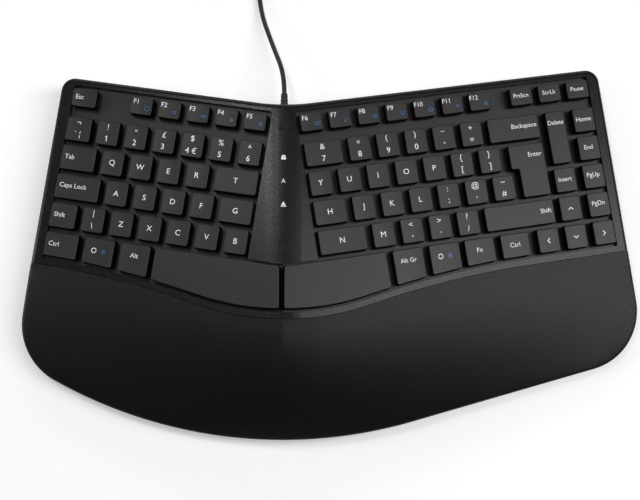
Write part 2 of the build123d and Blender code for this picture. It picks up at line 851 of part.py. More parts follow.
# Key frame, dome sheet, membrane and backing plate of each block
sheet_top = membrane_depth - dome_sheet_thickness
plate_top = membrane_depth + membrane_thickness
plate_low = plate_top + plate_thickness
for side, name in ((-1, "left"), (1, "right")):
    tops = left_tops if side < 0 else right_tops
    half_gap = seam_gap / 2
    inner_seam = half_gap + frame_rim
    inner_growth = frame_flange - frame_rim
    wall = block_region(side, frame_flange, half_gap, cover_depth + cover_wall, sheet_top)
    room_over = block_region(side, inner_growth, 0, 0, floor_depth)
    room_under = block_region(
        side, inner_growth, inner_seam, floor_depth + frame_floor, membrane_depth
    )
    spots = stem_spots[name] + guide_spots[name]
    sleeve = stem_size + 2 * (key_clearance + sleeve_wall)
    with BuildPart() as key_frame:
        add(wall)
        add(room_over, mode=Mode.SUBTRACT)
        add(room_under, mode=Mode.SUBTRACT)
        add(block_posts(tops, spots, sleeve, sleeve_top_depth, floor_depth + frame_floor))
        hole = stem_size + 2 * key_clearance
        add(block_posts(tops, spots, hole, 0, sheet_top), mode=Mode.SUBTRACT)
    key_frame.part.label = f"{name}_key_frame"
    export_step(key_frame.part, f"parts/{name}_key_frame.step")
    print(name, "frame", key_frame.part.is_valid, len(key_frame.part.solids()))

    sheet = block_region(side, frame_flange, half_gap, sheet_top, membrane_depth)
    button_depth = stem_depth + dome_gap
    cone_top = floor_depth + frame_floor + dome_gap
    with BuildPart() as dome:
        with BuildSketch(Plane.XZ) as profile:
            with BuildLine():
                Polyline(
                    (0, -button_depth),
                    (dome_button_radius, -button_depth),
                    (dome_button_radius, -cone_top),
                    (dome_neck_radius, -cone_top),
                    (dome_radius, -sheet_top),
                    (dome_radius, -membrane_depth),
                    (dome_radius - dome_wall, -membrane_depth),
                    (dome_button_radius - dome_wall, -cone_top - dome_wall),
                    (0, -cone_top - dome_wall),
                    (0, -button_depth),
                )
            make_face()
        revolve(profile.sketch, axis=Axis.Z)
    with BuildPart() as dome_holes:
        with BuildSketch(tops.offset(-sheet_top)) as circles:
            with Locations(*stem_spots[name]):
                Circle(dome_radius - dome_wall / 2)
        extrude(circles.sketch, amount=-dome_sheet_thickness)
    with BuildPart() as domes:
        add(sheet)
        add(dome_holes.part, mode=Mode.SUBTRACT)
        add([tops.from_local_coords(Pos(u, v, 0) * dome.part) for u, v in stem_spots[name]])
    domes.part.label = f"{name}_domes"
    export_step(domes.part, f"parts/{name}_domes.step")
    print(name, "domes", domes.part.is_valid, len(domes.part.solids()))

    membrane_form = block_region(side, frame_flange, half_gap, membrane_depth, plate_top)
    with BuildPart() as membrane:
        add(membrane_form)
    membrane.part.label = f"{name}_membrane"
    export_step(membrane.part, f"parts/{name}_membrane.step")

    plate_form = block_region(side, frame_flange, half_gap, plate_top, plate_low)
    with BuildPart() as backing_plate:
        add(plate_form)
    backing_plate.part.label = f"{name}_backing_plate"
    export_step(backing_plate.part, f"parts/{name}_backing_plate.step")

# Tilt feet and the pockets that they fold into
tilt_places = {"left": -tilt_left_place, "right": tilt_right_place}


def tilt_plane(place):
    """Plane across a tilt foot through its hinge axis, looking along +X."""
    y = ridge_y + rear_reach + tan_of(yaw_angle) * abs(place) - tilt_axis_inset
    return Plane(origin=(ridge_x + place, y, tilt_axis_height), x_dir=(0, 1, 0), z_dir=(1, 0, 0))


def tilt_block(place, front, rear, low, high, half_width):
    """Box around a tilt foot's axis, from its front and rear reaches and heights."""
    with BuildPart() as block:
        with BuildSketch(tilt_plane(place)) as face:
            with Locations(((rear - front) / 2, (low + high) / 2 - tilt_axis_height)):
                Rectangle(front + rear, high - low)
        extrude(face.sketch, amount=half_width, both=True)
    return block.part


for name, place in tilt_places.items():
    half = tilt_foot_width / 2
    low = -tilt_barrel_radius
    with BuildPart() as tilt_foot:
        with BuildSketch(tilt_plane(place)) as side_view:
            Circle(tilt_barrel_radius)
            with Locations((-tilt_foot_length / 2, low + tilt_foot_thickness / 2)):
                Rectangle(tilt_foot_length, tilt_foot_thickness)
            tip = side_view.vertices().group_by(Axis.X)[0]
            fillet(tip, tilt_foot_thickness / 3)
        extrude(side_view.sketch, amount=half, both=True)
        with BuildSketch(tilt_plane(place)) as pin:
            Circle(tilt_pin_radius)
        extrude(pin.sketch, amount=half + tilt_pin_length, both=True)
    tilt_foot.part.label = f"{name}_tilt_foot"
    export_step(tilt_foot.part, f"parts/{name}_tilt_foot.step")
    print(name, "tilt foot", tilt_foot.part.is_valid, tilt_plane(place).origin)

# Pillars under the backing plates
with BuildPart() as pillars:
    for tops, places in ((left_tops, left_pillar_places), (right_tops, right_pillar_places)):
        spots = [plan_place(tops, u, v) for u in places for v in pillar_rows]
        add(round_columns(spots, boss_radius, case_low_top, tall))
    cut_above_tops(plate_low)

# Bottom case
recess_radius = screw_head_radius + screw_clearance
shank_radius = screw_radius + screw_clearance
low_spots = cover_screw_spots + palm_screw_spots
spine_seat = spine_join_height - screw_seat
low_seat = case_height - screw_seat
pocket_half = tilt_foot_width / 2 + tilt_clearance
pocket_top = tilt_axis_height + tilt_barrel_radius + tilt_clearance
with BuildPart() as bottom_case:
    extrude(outline_sketch(place_at(foot_height), 0), amount=case_height - foot_height)
    fillet(bottom_case.faces().sort_by(Axis.Z)[0].outer_wire().edges(), case_edge_radius)
    inside = outline_sketch(place_at(case_low_top), case_wall)
    extrude(inside, amount=case_height, mode=Mode.SUBTRACT)
    add(pillars.part)
    add(round_columns(board_pillar_spots, board_pillar_radius, case_low_top, board_low))
    add(round_columns(spine_screw_spots, pillar_radius, foot_height, spine_join_height))
    add(round_columns(low_spots, pillar_radius, foot_height, case_height))
    for place in tilt_places.values():
        front = tilt_foot_length + tilt_clearance + tilt_pocket_wall
        rear = tilt_barrel_radius + tilt_clearance + tilt_pocket_wall
        high = pocket_top + tilt_pocket_wall
        add(tilt_block(place, front, rear, foot_height, high, pocket_half + tilt_pocket_wall))
    for place in tilt_places.values():
        front = tilt_foot_length + tilt_clearance
        rear = tilt_barrel_radius + tilt_clearance
        pocket = tilt_block(place, front, rear, 0, pocket_top, pocket_half)
        add(pocket, mode=Mode.SUBTRACT)
        with BuildSketch(tilt_plane(place)) as pin_hole:
            Circle(tilt_pin_radius + pin_clearance)
        pin_reach = tilt_foot_width / 2 + tilt_pin_length + 2 * pin_clearance
        extrude(pin_hole.sketch, amount=pin_reach, both=True, mode=Mode.SUBTRACT)
    add(round_columns(spine_screw_spots, recess_radius, 0, spine_seat), mode=Mode.SUBTRACT)
    add(round_columns(spine_screw_spots, shank_radius, 0, tall), mode=Mode.SUBTRACT)
    add(round_columns(low_spots, recess_radius, 0, low_seat), mode=Mode.SUBTRACT)
    add(round_columns(low_spots, shank_radius, 0, case_height), mode=Mode.SUBTRACT)
    feet_room = round_columns(foot_spots, foot_radius, 0, foot_height + foot_recess)
    add(feet_room, mode=Mode.SUBTRACT)
bottom_case.part.label = "bottom_case"
export_step(bottom_case.part, "parts/bottom_case.step")
print("bottom case", bottom_case.part.is_valid, len(bottom_case.part.solids()))

# Rubber feet
with BuildPart() as rubber_feet:
    add(feet_room)
    fillet(rubber_feet.faces().group_by(Axis.Z)[0].edges(), foot_recess)
rubber_feet.part.label = "rubber_feet"
export_step(rubber_feet.part, "parts/rubber_feet.step")

# Case screws, driven from below
with BuildPart() as case_screws:
    for spots, seat, join in (
        (spine_screw_spots, spine_seat, spine_join_height),
        (low_spots, low_seat, case_height),
    ):
        add(round_columns(spots, screw_head_radius, seat - screw_head_height, seat))
        add(round_columns(spots, screw_radius, seat, join + screw_grip - screw_clearance))
        socket = round_columns(
            spots, screw_radius, seat - screw_head_height, seat - screw_head_height / 2
        )
        add(socket, mode=Mode.SUBTRACT)
case_screws.part.label = "case_screws"
export_step(case_screws.part, "parts/case_screws.step")
print("screws", len(case_screws.part.solids()))

# Controller board, its chips, and the indicator lights
with BuildPart() as controller_board:
    with BuildSketch(place_at(board_low)) as board_plan:
        with Locations((0, board_length / 2 - board_front_offset)):
            Rectangle(board_width, board_length)
    extrude(board_plan.sketch, amount=board_thickness)
controller_board.part.label = "controller_board"
export_step(controller_board.part, "parts/controller_board.step")

with BuildPart() as controller_chips:
    with BuildSketch(place_at(board_low)) as chip_plan:
        with Locations(*chip_spots):
            Rectangle(chip_size, chip_size)
    extrude(chip_plan.sketch, amount=-chip_height)
controller_chips.part.label = "controller_chips"
export_step(controller_chips.part, "parts/controller_chips.step")

led_top = board_top + led_height
with BuildPart() as indicator_leds:
    add(round_columns(light_spots, led_radius, board_top, led_top - led_radius))
    dome_places = [(ridge_x + x, ridge_y + y, led_top - led_radius) for x, y in light_spots]
    with Locations(*dome_places):
        Sphere(led_radius)
indicator_leds.part.label = "indicator_leds"
export_step(indicator_leds.part, "parts/indicator_leds.step")

with BuildPart() as indicator_lenses:
    add(round_columns(light_spots, light_radius, led_top, tall))
    add(cover_form.part, mode=Mode.INTERSECT)
indicator_lenses.part.label = "indicator_lenses"
export_step(indicator_lenses.part, "parts/indicator_lenses.step")
print("lenses", len(indicator_lenses.part.solids()))

# Cable strain relief, gripped by the rear wall
with BuildPart() as cable_strain_relief:
    with BuildSketch(relief_plane.offset(-case_wall - relief_flange_thickness)) as flange:
        Circle(relief_flange_radius)
    extrude(flange.sketch, amount=relief_flange_thickness)
    with BuildSketch(relief_plane.offset(-case_wall)) as grip:
        Circle(relief_radius)
    extrude(grip.sketch, amount=case_wall + relief_grip)
    with BuildSketch(relief_plane.offset(relief_grip)) as base:
        Circle(relief_radius)
    with BuildSketch(relief_plane.offset(relief_length)) as end:
        Circle(relief_tip_radius)
    loft(sections=[base.sketch.face(), end.sketch.face()])
    for step in range(relief_slots):
        middle = relief_grip + relief_slot_pitch * (step + 1)
        with BuildSketch(relief_plane.offset(middle)) as ring:
            Circle(relief_radius)
            Circle(relief_tip_radius - relief_slot_depth, mode=Mode.SUBTRACT)
        extrude(ring.sketch, amount=relief_slot_pitch / 3, mode=Mode.SUBTRACT)
cable_strain_relief.part.label = "cable_strain_relief"
export_step(cable_strain_relief.part, "parts/cable_strain_relief.step")
print("relief", cable_strain_relief.part.is_valid, len(cable_strain_relief.part.solids()))

# Lead between the strain relief and the board
lead_start_y = rear_wall_y - case_wall - relief_flange_thickness
lead_points = [
    (0, lead_start_y, relief_height),
    (0, lead_start_y - lead_straight, relief_height),
    (lead_aside, lead_start_y - 2 * lead_straight, relief_height),
    (lead_aside, board_rear - lead_under, relief_height),
    (lead_end_aside, board_rear - lead_end_inset, board_low - lead_rise),
    (lead_end_aside, board_rear - lead_end_inset, board_low),
]
lead_points = [(ridge_x + x, ridge_y + y, z) for x, y, z in lead_points]
with BuildPart() as inner_lead:
    with BuildLine() as lead_path:
        FilletPolyline(*lead_points, radius=lead_bend_radius)
    with BuildSketch(Plane(origin=lead_points[0], z_dir=(0, -1, 0))) as lead_section:
        Circle(cord_radius)
    sweep(lead_section.sketch, path=lead_path.wire())
inner_lead.part.label = "inner_lead"
export_step(inner_lead.part, "parts/inner_lead.step")
print("lead", inner_lead.part.is_valid)


# Cable on the desk, from the strain relief to the coil
free_points = [
    (0, rear_wall_y + relief_length, relief_height),
    (0, 72.0, relief_height),
    (-8.0, 94.0, 13.0),
    (-19.0, 128.0, coil_low),
    (-19.0, coil_start_y, coil_low),
]
free_points = [Vector(ridge_x + x, ridge_y + y, z) for x, y, z in free_points]
free_radii = []
for before, corner, after in zip(free_points, free_points[1:], free_points[2:]):
    shorter = min((corner - before).length, (after - corner).length)
    turn = (corner - before).get_angle(after - corner)
    free_radii.append(free_share * shorter / tan_of(turn / 2))
with BuildPart() as usb_cable:
    with BuildLine() as free_path:
        FilletPolyline(*free_points, radius=free_radii)
    with BuildSketch(Plane(origin=free_points[0], z_dir=(0, 1, 0))) as cord_section:
        Circle(cord_radius)
    sweep(cord_section.sketch, path=free_path.wire())
usb_cable.part.label = "usb_cable"
export_step(usb_cable.part, "parts/usb_cable.step")
section_area = math.pi * cord_radius**2
free_length = free_path.wire().length
print("cable radii", [round(radius, 1) for radius in free_radii], "length", round(free_length, 1))
print("cable volume", usb_cable.part.volume, "section times length", section_area * free_length)


def biarc(start, start_way, end, end_way):
    """Two tangent arcs from a start to an end, each with its direction."""
    across = end - start
    both = start_way + end_way
    spread = 2 * (1 - start_way.dot(end_way))
    toward = across.dot(both)
    reach = (math.sqrt(toward**2 + spread * across.dot(across)) - toward) / spread
    middle = (start + end + (start_way - end_way) * reach) / 2
    first = TangentArc(start, middle, tangent=start_way)
    TangentArc(middle, end, tangent=first % 1)


# Coil in two layers, inward along the desk and outward above
coil_centre = Vector(free_points[-1].X, free_points[-1].Y + 2 * cord_radius, 0)
coil_reach = coil_mean_radius + coil_turns_per_layer * coil_pitch / 2
coil_centre -= Vector(coil_reach, 0, 0)
half_turns = 2 * coil_turns_per_layer
coil_inner = coil_reach - half_turns * coil_pitch / 2
coil_stops = [(coil_reach - step * coil_pitch / 2, coil_low) for step in range(half_turns + 1)]
coil_stops += [(coil_inner + step * coil_pitch / 2, coil_high) for step in range(half_turns + 2)]
with BuildPart() as usb_cable_coil:
    with BuildLine() as coil_path:
        spot = coil_centre + Vector(coil_reach, 0, coil_low)
        Line(free_points[-1], spot)
        way = Vector(0, 1, 0)
        for number, (reach, height) in enumerate(coil_stops[1:], 1):
            next_spot = coil_centre + Vector(reach if number % 2 == 0 else -reach, 0, height)
            biarc(spot, way, next_spot, way * -1)
            spot = next_spot
            way = way * -1
        coil_end = spot + way * coil_tail
        Line(spot, coil_end)
    with BuildSketch(Plane(origin=free_points[-1], z_dir=(0, 1, 0))) as coil_section:
        Circle(cord_radius)
    sweep(coil_section.sketch, path=coil_path.wire())
usb_cable_coil.part.label = "usb_cable_coil"
export_step(usb_cable_coil.part, "parts/usb_cable_coil.step")
coil_length = coil_path.wire().length
print("coil length", coil_length, "valid", usb_cable_coil.part.is_valid)
print("coil volume", usb_cable_coil.part.volume, "section times length", section_area * coil_length)

# Least gap of the coil to itself, on points along its middle line
coil_steps = round(coil_length / cord_radius)
coil_skip = 8
coil_points = [coil_path.wire().position_at(step / coil_steps) for step in range(coil_steps + 1)]
coil_gap = coil_length
for step, point in enumerate(coil_points):
    for other in coil_points[step + coil_skip :]:
        away = max(abs(point.X - other.X), abs(point.Y - other.Y))
        if away < coil_pitch:
            coil_gap = min(coil_gap, (point - other).length - 2 * cord_radius)
print("least gap of the coil to itself", round(coil_gap, 3))

# Tie round the turns, on the far side of the coil
tie_low_y = coil_inner - cord_radius - tie_room
tie_high_y = coil_reach + cord_radius
tie_high = coil_high + cord_radius + tie_clearance
with BuildPart() as cable_tie:
    tie_middle = coil_centre + Vector(0, (tie_low_y + tie_high_y) / 2, (tie_high + tie_thickness) / 2)
    tie_plane = Plane(origin=tie_middle, x_dir=(0, 1, 0), z_dir=(1, 0, 0))
    with BuildSketch(tie_plane) as tie_ring:
        outer_size = (tie_high_y - tie_low_y + 2 * tie_thickness, tie_high + tie_thickness)
        RectangleRounded(*outer_size, tie_corner_radius)
        inner_size = (tie_high_y - tie_low_y, tie_high - tie_thickness)
        RectangleRounded(*inner_size, tie_corner_radius - tie_thickness, mode=Mode.SUBTRACT)
    extrude(tie_ring.sketch, amount=tie_width / 2, both=True)
cable_tie.part.label = "cable_tie"
export_step(cable_tie.part, "parts/cable_tie.step")

# Plug at the far end of the cable
plug_plane = Plane(origin=coil_end, x_dir=(1, 0, 0), z_dir=(0, 1, 0))
plug_height = 2 * coil_high
with BuildPart() as usb_plug_body:
    with BuildSketch(plug_plane) as boot:
        Circle(plug_boot_radius)
    with BuildSketch(plug_plane.offset(plug_boot_length)) as boot_end:
        Circle(plug_height / 2 - plug_edge_radius)
    loft(sections=[boot.sketch.face(), boot_end.sketch.face()])
    with BuildSketch(plug_plane.offset(plug_boot_length)) as grip_face:
        RectangleRounded(plug_width, plug_height, plug_edge_radius)
    extrude(grip_face.sketch, amount=plug_length - plug_boot_length)
    ends = usb_plug_body.faces().filter_by(Axis.Y).sort_by(Axis.Y)
    fillet(ends[-1].edges(), plug_edge_radius / 2)
usb_plug_body.part.label = "usb_plug_body"
export_step(usb_plug_body.part, "parts/usb_plug_body.step")
print("plug body", usb_plug_body.part.is_valid, len(usb_plug_body.part.solids()))

with BuildPart() as usb_plug_shell:
    with BuildSketch(plug_plane.offset(plug_length)) as shell_face:
        Rectangle(plug_shell_width, plug_shell_height)
        shell_inside = plug_shell_width - 2 * plug_shell_wall
        Rectangle(shell_inside, plug_shell_height - 2 * plug_shell_wall, mode=Mode.SUBTRACT)
    extrude(shell_face.sketch, amount=plug_shell_length)
    with BuildSketch(plug_plane.offset(plug_length)) as tongue_face:
        with Locations((0, (plug_shell_height - plug_tongue_height) / 2 - plug_shell_wall)):
            Rectangle(shell_inside, plug_tongue_height)
    extrude(tongue_face.sketch, amount=plug_shell_length - slack)
usb_plug_shell.part.label = "usb_plug_shell"
export_step(usb_plug_shell.part, "parts/usb_plug_shell.step")
print("plug shell", usb_plug_shell.part.is_valid, len(usb_plug_shell.part.solids()))
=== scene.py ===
import json
import math

import bmesh
import bpy
from mathutils import Matrix, Vector
from mathutils.bvhtree import BVHTree


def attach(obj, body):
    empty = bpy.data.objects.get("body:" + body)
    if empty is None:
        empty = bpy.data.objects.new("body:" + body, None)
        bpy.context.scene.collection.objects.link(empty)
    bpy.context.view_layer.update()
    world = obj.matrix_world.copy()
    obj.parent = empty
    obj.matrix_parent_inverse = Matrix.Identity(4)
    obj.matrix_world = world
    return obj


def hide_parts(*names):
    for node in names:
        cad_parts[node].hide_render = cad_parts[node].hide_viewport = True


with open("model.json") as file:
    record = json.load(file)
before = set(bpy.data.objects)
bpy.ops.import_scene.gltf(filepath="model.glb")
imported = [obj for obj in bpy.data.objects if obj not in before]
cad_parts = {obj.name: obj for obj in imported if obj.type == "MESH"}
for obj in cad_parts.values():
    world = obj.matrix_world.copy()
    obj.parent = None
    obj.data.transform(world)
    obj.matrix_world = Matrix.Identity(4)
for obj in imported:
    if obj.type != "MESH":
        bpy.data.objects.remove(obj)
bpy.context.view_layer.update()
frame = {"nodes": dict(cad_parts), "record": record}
nodes = frame["nodes"]
MM = 0.001

# Driving dimensions, repeated from the model in millimetres
RIDGE = Vector((-32.8207, 46.8409, 51.0))
YAW, TENT, SLOPE = 9.34, 7.17, 2.5
KEY_PITCH, ROW_PITCH, KEY_GAP = 19.0, 19.28, 4.7
CAP_DEPTH, FUNCTION_DEPTH, FUNCTION_FRONT = 15.8, 11.6, 23.1
LEGEND_LIFT = 0.03
# Where the rays that lay the print on a surface start, and how far they reach, in metres
RAY_START, RAY_REACH = 0.01, 0.03
LEFT_START, RIGHT_START = -144.75, 15.8
CORD_RADIUS = 1.6
COIL_LOW, COIL_HIGH = 2.1, 5.8
COIL_RADIUS, COIL_PITCH, COIL_TURNS = 19.2, 4.8, 6
COIL_TAIL = 26.0
# Points in each half turn, and how far they stand out so that the spline keeps the radius
COIL_STEPS, COIL_SWELL = 8, 1.012
PALM_CREASE = 28
PALM_MERGE = 1e-6

# Camera, read from the key rows of the photograph
CAMERA_SPOT = Vector((7.9, -150.4, 751.1))
CAMERA_TURNS = (8.033, -1.271, 0.067)
FOCAL_PIXELS, IMAGE_WIDTH, SENSOR = 1118.0, 640.0, 36.0


def turn(axis, degrees):
    return Matrix.Rotation(math.radians(degrees), 4, axis)


def block_matrix(side):
    """From block coordinates in millimetres to the frame in metres: side -1 is the left block."""
    angles = turn("Z", side * YAW) @ turn("Y", side * TENT) @ turn("X", SLOPE)
    return Matrix.Scale(MM, 4) @ Matrix.Translation(RIDGE) @ angles


BLOCKS = {"left": block_matrix(-1), "right": block_matrix(1)}


def add_camera():
    data = bpy.data.cameras.new("camera")
    data.sensor_width = SENSOR
    data.lens = FOCAL_PIXELS * SENSOR / IMAGE_WIDTH
    data.clip_end = 20
    camera = bpy.data.objects.new("camera", data)
    across, up, roll = CAMERA_TURNS[1], CAMERA_TURNS[0], CAMERA_TURNS[2]
    spot = CAMERA_SPOT + Vector((RIDGE.x, RIDGE.y, 0))
    place = Matrix.Translation(spot * MM)
    camera.matrix_world = place @ turn("Y", across) @ turn("X", up) @ turn("Z", roll)
    bpy.context.scene.collection.objects.link(camera)
    bpy.context.scene.camera = camera


add_camera()


# Materials
def new_material(name):
    material = bpy.data.materials.new(name)
    material.use_nodes = True
    return material, material.node_tree, material.node_tree.nodes["Principled BSDF"]


def object_noise(tree, scale, detail):
    place = tree.nodes.new("ShaderNodeTexCoord")
    noise = tree.nodes.new("ShaderNodeTexNoise")
    noise.inputs["Scale"].default_value = scale
    noise.inputs["Detail"].default_value = detail
    tree.links.new(place.outputs["Object"], noise.inputs["Vector"])
    return noise.outputs["Fac"]


def ramp(tree, factor, low, high, start=0.3, end=0.7):
    node = tree.nodes.new("ShaderNodeValToRGB")
    node.color_ramp.elements[0].position = start
    node.color_ramp.elements[1].position = end
    node.color_ramp.elements[0].color = (*low, 1)
    node.color_ramp.elements[1].color = (*high, 1)
    tree.links.new(factor, node.inputs["Fac"])
    return node.outputs["Color"]


def grey(value, tint=0.0):
    """Linear grey, a little bluer where the tint is above zero."""
    return (value, value * (1 + tint / 2), value * (1 + tint))


def moulded(name, dark, light, rough, grain, bump, tint=0.04, specular=0.5):
    """Moulded plastic or rubber: cloudy colour, uneven gloss and a fine grain."""
    material, tree, shader = new_material(name)
    clouds = object_noise(tree, 260, 4)
    tree.links.new(ramp(tree, clouds, grey(dark, tint), grey(light, tint)), shader.inputs["Base Color"])
    gloss = object_noise(tree, 900, 3)
    tree.links.new(ramp(tree, gloss, grey(rough - 0.03), grey(rough + 0.03)), shader.inputs["Roughness"])
    shader.inputs["Specular IOR Level"].default_value = specular
    pits = tree.nodes.new("ShaderNodeBump")
    pits.inputs["Strength"].default_value = bump
    pits.inputs["Distance"].default_value = 0.0001
    tree.links.new(object_noise(tree, grain, 3), pits.inputs["Height"])
    tree.links.new(pits.outputs["Normal"], shader.inputs["Normal"])
    return material


def key_plastic_with_painted_shade():
    """Key caps: satin grey tops, with painted shade that darkens the base colour over the rim into
    near-black skirts by how far each face turns from up; the skirts also reflect less.
    """
    material, tree, shader = new_material("key_caps_painted_shade_skirts")
    face = tree.nodes.new("ShaderNodeNewGeometry")
    split = tree.nodes.new("ShaderNodeSeparateXYZ")
    tree.links.new(face.outputs["Normal"], split.inputs["Vector"])
    # Painted light and shade: how far each face turns up, which lightens the tops and darkens the skirts
    painted_top_light_mask = ramp(tree, split.outputs["Z"], grey(0.0), grey(1.0), 0.55, 0.93)
    clouds = ramp(tree, object_noise(tree, 420, 4), grey(0.0085, 0.03), grey(0.0105, 0.03))
    painted_shade_mix = tree.nodes.new("ShaderNodeMix")
    painted_shade_mix.data_type = "RGBA"
    # Painted shade: the near-black colour given to the skirts that turn away from up
    painted_shade_mix.inputs["A"].default_value = (0.0012, 0.0012, 0.0014, 1)
    tree.links.new(painted_top_light_mask, painted_shade_mix.inputs["Factor"])
    tree.links.new(clouds, painted_shade_mix.inputs["B"])
    tree.links.new(painted_shade_mix.outputs["Result"], shader.inputs["Base Color"])
    level = tree.nodes.new("ShaderNodeMapRange")
    level.inputs["To Min"].default_value = 0.1
    level.inputs["To Max"].default_value = 0.42
    tree.links.new(painted_top_light_mask, level.inputs["Value"])
    tree.links.new(level.outputs["Result"], shader.inputs["Specular IOR Level"])
    gloss = ramp(tree, object_noise(tree, 1200, 3), grey(0.4), grey(0.46))
    tree.links.new(gloss, shader.inputs["Roughness"])
    pits = tree.nodes.new("ShaderNodeBump")
    pits.inputs["Strength"].default_value = 0.12
    pits.inputs["Distance"].default_value = 0.00005
    tree.links.new(object_noise(tree, 6000, 2), pits.inputs["Height"])
    tree.links.new(pits.outputs["Normal"], shader.inputs["Normal"])
    return material


def metal(name, value, rough):
    material, tree, shader = new_material(name)
    shader.inputs["Metallic"].default_value = 1.0
    streaks = object_noise(tree, 300, 4)
    tree.links.new(ramp(tree, streaks, grey(value * 0.85), grey(value)), shader.inputs["Base Color"])
    tree.links.new(ramp(tree, streaks, grey(rough - 0.06), grey(rough + 0.06)), shader.inputs["Roughness"])
    return material


def glowing(name, colour, strength):
    material, tree, shader = new_material(name)
    clouds = object_noise(tree, 900, 1)
    pale = tuple(min(1, c * 1.15) for c in colour)
    tree.links.new(ramp(tree, clouds, colour, pale), shader.inputs["Base Color"])
    shader.inputs["Roughness"].default_value = 0.35
    shader.inputs["Emission Color"].default_value = (*colour, 1)
    shader.inputs["Emission Strength"].default_value = strength
    return material


LOOKS = {
    "key": key_plastic_with_painted_shade(),
    "cover": moulded("cover_satin_charcoal", 0.003, 0.0042, 0.28, 5000, 0.06, specular=0.27),
    "palm": moulded("palm_soft_touch_grain", 0.001, 0.0018, 0.42, 2200, 1.0, 0.0, 0.28),
    "frame": moulded("key_frame_grey", 0.009, 0.012, 0.45, 5000, 0.08, specular=0.4),
    "case": moulded("bottom_case_black", 0.008, 0.012, 0.6, 3000, 0.3),
    "rubber": moulded("foot_rubber", 0.012, 0.02, 0.8, 2500, 0.3),
    "cord": moulded("cord_jacket", 0.006, 0.01, 0.5, 3000, 0.15),
    "plug": moulded("plug_grip", 0.012, 0.018, 0.55, 3500, 0.25),
    "tie": moulded("tie_strip", 0.01, 0.02, 0.3, 900, 0.1),
    "dome": moulded("dome_silicone", 0.5, 0.62, 0.6, 1500, 0.1, -0.03),
    "film": moulded("membrane_film", 0.45, 0.55, 0.2, 800, 0.05),
    "board": moulded("board_mask", 0.02, 0.05, 0.4, 1200, 0.1),
    "chip": moulded("chip_epoxy", 0.012, 0.02, 0.6, 3000, 0.2),
    "lens": moulded("lens_smoked", 0.004, 0.007, 0.2, 900, 0.05),
    "led": glowing("led_epoxy", (0.75, 0.75, 0.7), 0.0),
    "steel": metal("zinc_steel", 0.6, 0.35),
    "nickel": metal("nickel_shell", 0.78, 0.22),
}
# The print has a faint glow of its own: painted light on top of its white and blue colours
legend_white_painted_glow = glowing("legend_white_painted_glow", (0.78, 0.79, 0.8), 0.12)
legend_blue_painted_glow = glowing("legend_blue_painted_glow", (0.012, 0.11, 0.3), 0.05)

NODE_LOOKS = {
    "top_cover": "cover",
    "palm_rest": "palm",
    "bottom_case": "case",
    "left_key_frame": "frame",
    "right_key_frame": "frame",
    "left_domes": "dome",
    "right_domes": "dome",
    "left_membrane": "film",
    "right_membrane": "film",
    "left_backing_plate": "steel",
    "right_backing_plate": "steel",
    "controller_board": "board",
    "controller_chips": "chip",
    "indicator_leds": "led",
    "indicator_lenses": "lens",
    "case_screws": "steel",
    "rubber_feet": "rubber",
    "left_tilt_foot": "case",
    "right_tilt_foot": "case",
    "cable_strain_relief": "cord",
    "inner_lead": "cord",
    "usb_cable": "cord",
    "usb_cable_coil": "cord",
    "cable_tie": "tie",
    "usb_plug_body": "plug",
    "usb_plug_shell": "nickel",
}
for name, node in nodes.items():
    look = LOOKS[NODE_LOOKS.get(name, "key")]
    node.data.materials.clear()
    node.data.materials.append(look)


# Palm rest: the same form with its long facets shaded as one curve
palm_mesh = nodes["palm_rest"].data.copy()
palm_mesh.name = "palm_smooth"
palm_form = bmesh.new()
palm_form.from_mesh(palm_mesh)
bmesh.ops.remove_doubles(palm_form, verts=palm_form.verts, dist=PALM_MERGE)
for face in palm_form.faces:
    face.smooth = True
for edge in palm_form.edges:
    edge.smooth = edge.is_manifold and edge.calc_face_angle(0) < math.radians(PALM_CREASE)
palm_form.to_mesh(palm_mesh)
palm_form.free()
if palm_mesh.attributes.get("custom_normal"):
    palm_mesh.attributes.remove(palm_mesh.attributes["custom_normal"])
palm = bpy.data.objects.new("palm_rest_smooth", palm_mesh)
bpy.context.scene.collection.objects.link(palm)
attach(palm, "casing")
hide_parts("palm_rest")


# Cable: the free run and the coil on one spline
def coil_route(start):
    """Points along the two-layer coil, inward on the desk and outward above it."""
    reach = COIL_RADIUS + COIL_TURNS * COIL_PITCH / 2
    inner = reach - COIL_TURNS * COIL_PITCH
    half = COIL_PITCH / 2
    stops = [(reach - number * half, COIL_LOW) for number in range(2 * COIL_TURNS + 1)]
    stops += [(inner + number * half, COIL_HIGH) for number in range(2 * COIL_TURNS + 2)]
    centre = start + Vector((-reach, 2 * CORD_RADIUS, 0))
    points = []
    side = 1
    for (near, low), (far, high) in zip(stops, stops[1:]):
        radius = (near + far) / 2
        for step in range(COIL_STEPS):
            angle = math.pi * step / COIL_STEPS
            x = side * ((near - far) / 2 + COIL_SWELL * radius * math.cos(angle))
            y = side * COIL_SWELL * radius * math.sin(angle)
            z = low + (high - low) * (1 - math.cos(angle)) / 2
            points.append(Vector((centre.x + x, centre.y + y, z)))
        side = -side
    end = Vector((centre.x + side * stops[-1][0], centre.y, COIL_HIGH))
    points += [end, end + Vector((0, COIL_TAIL, 0))]
    return points


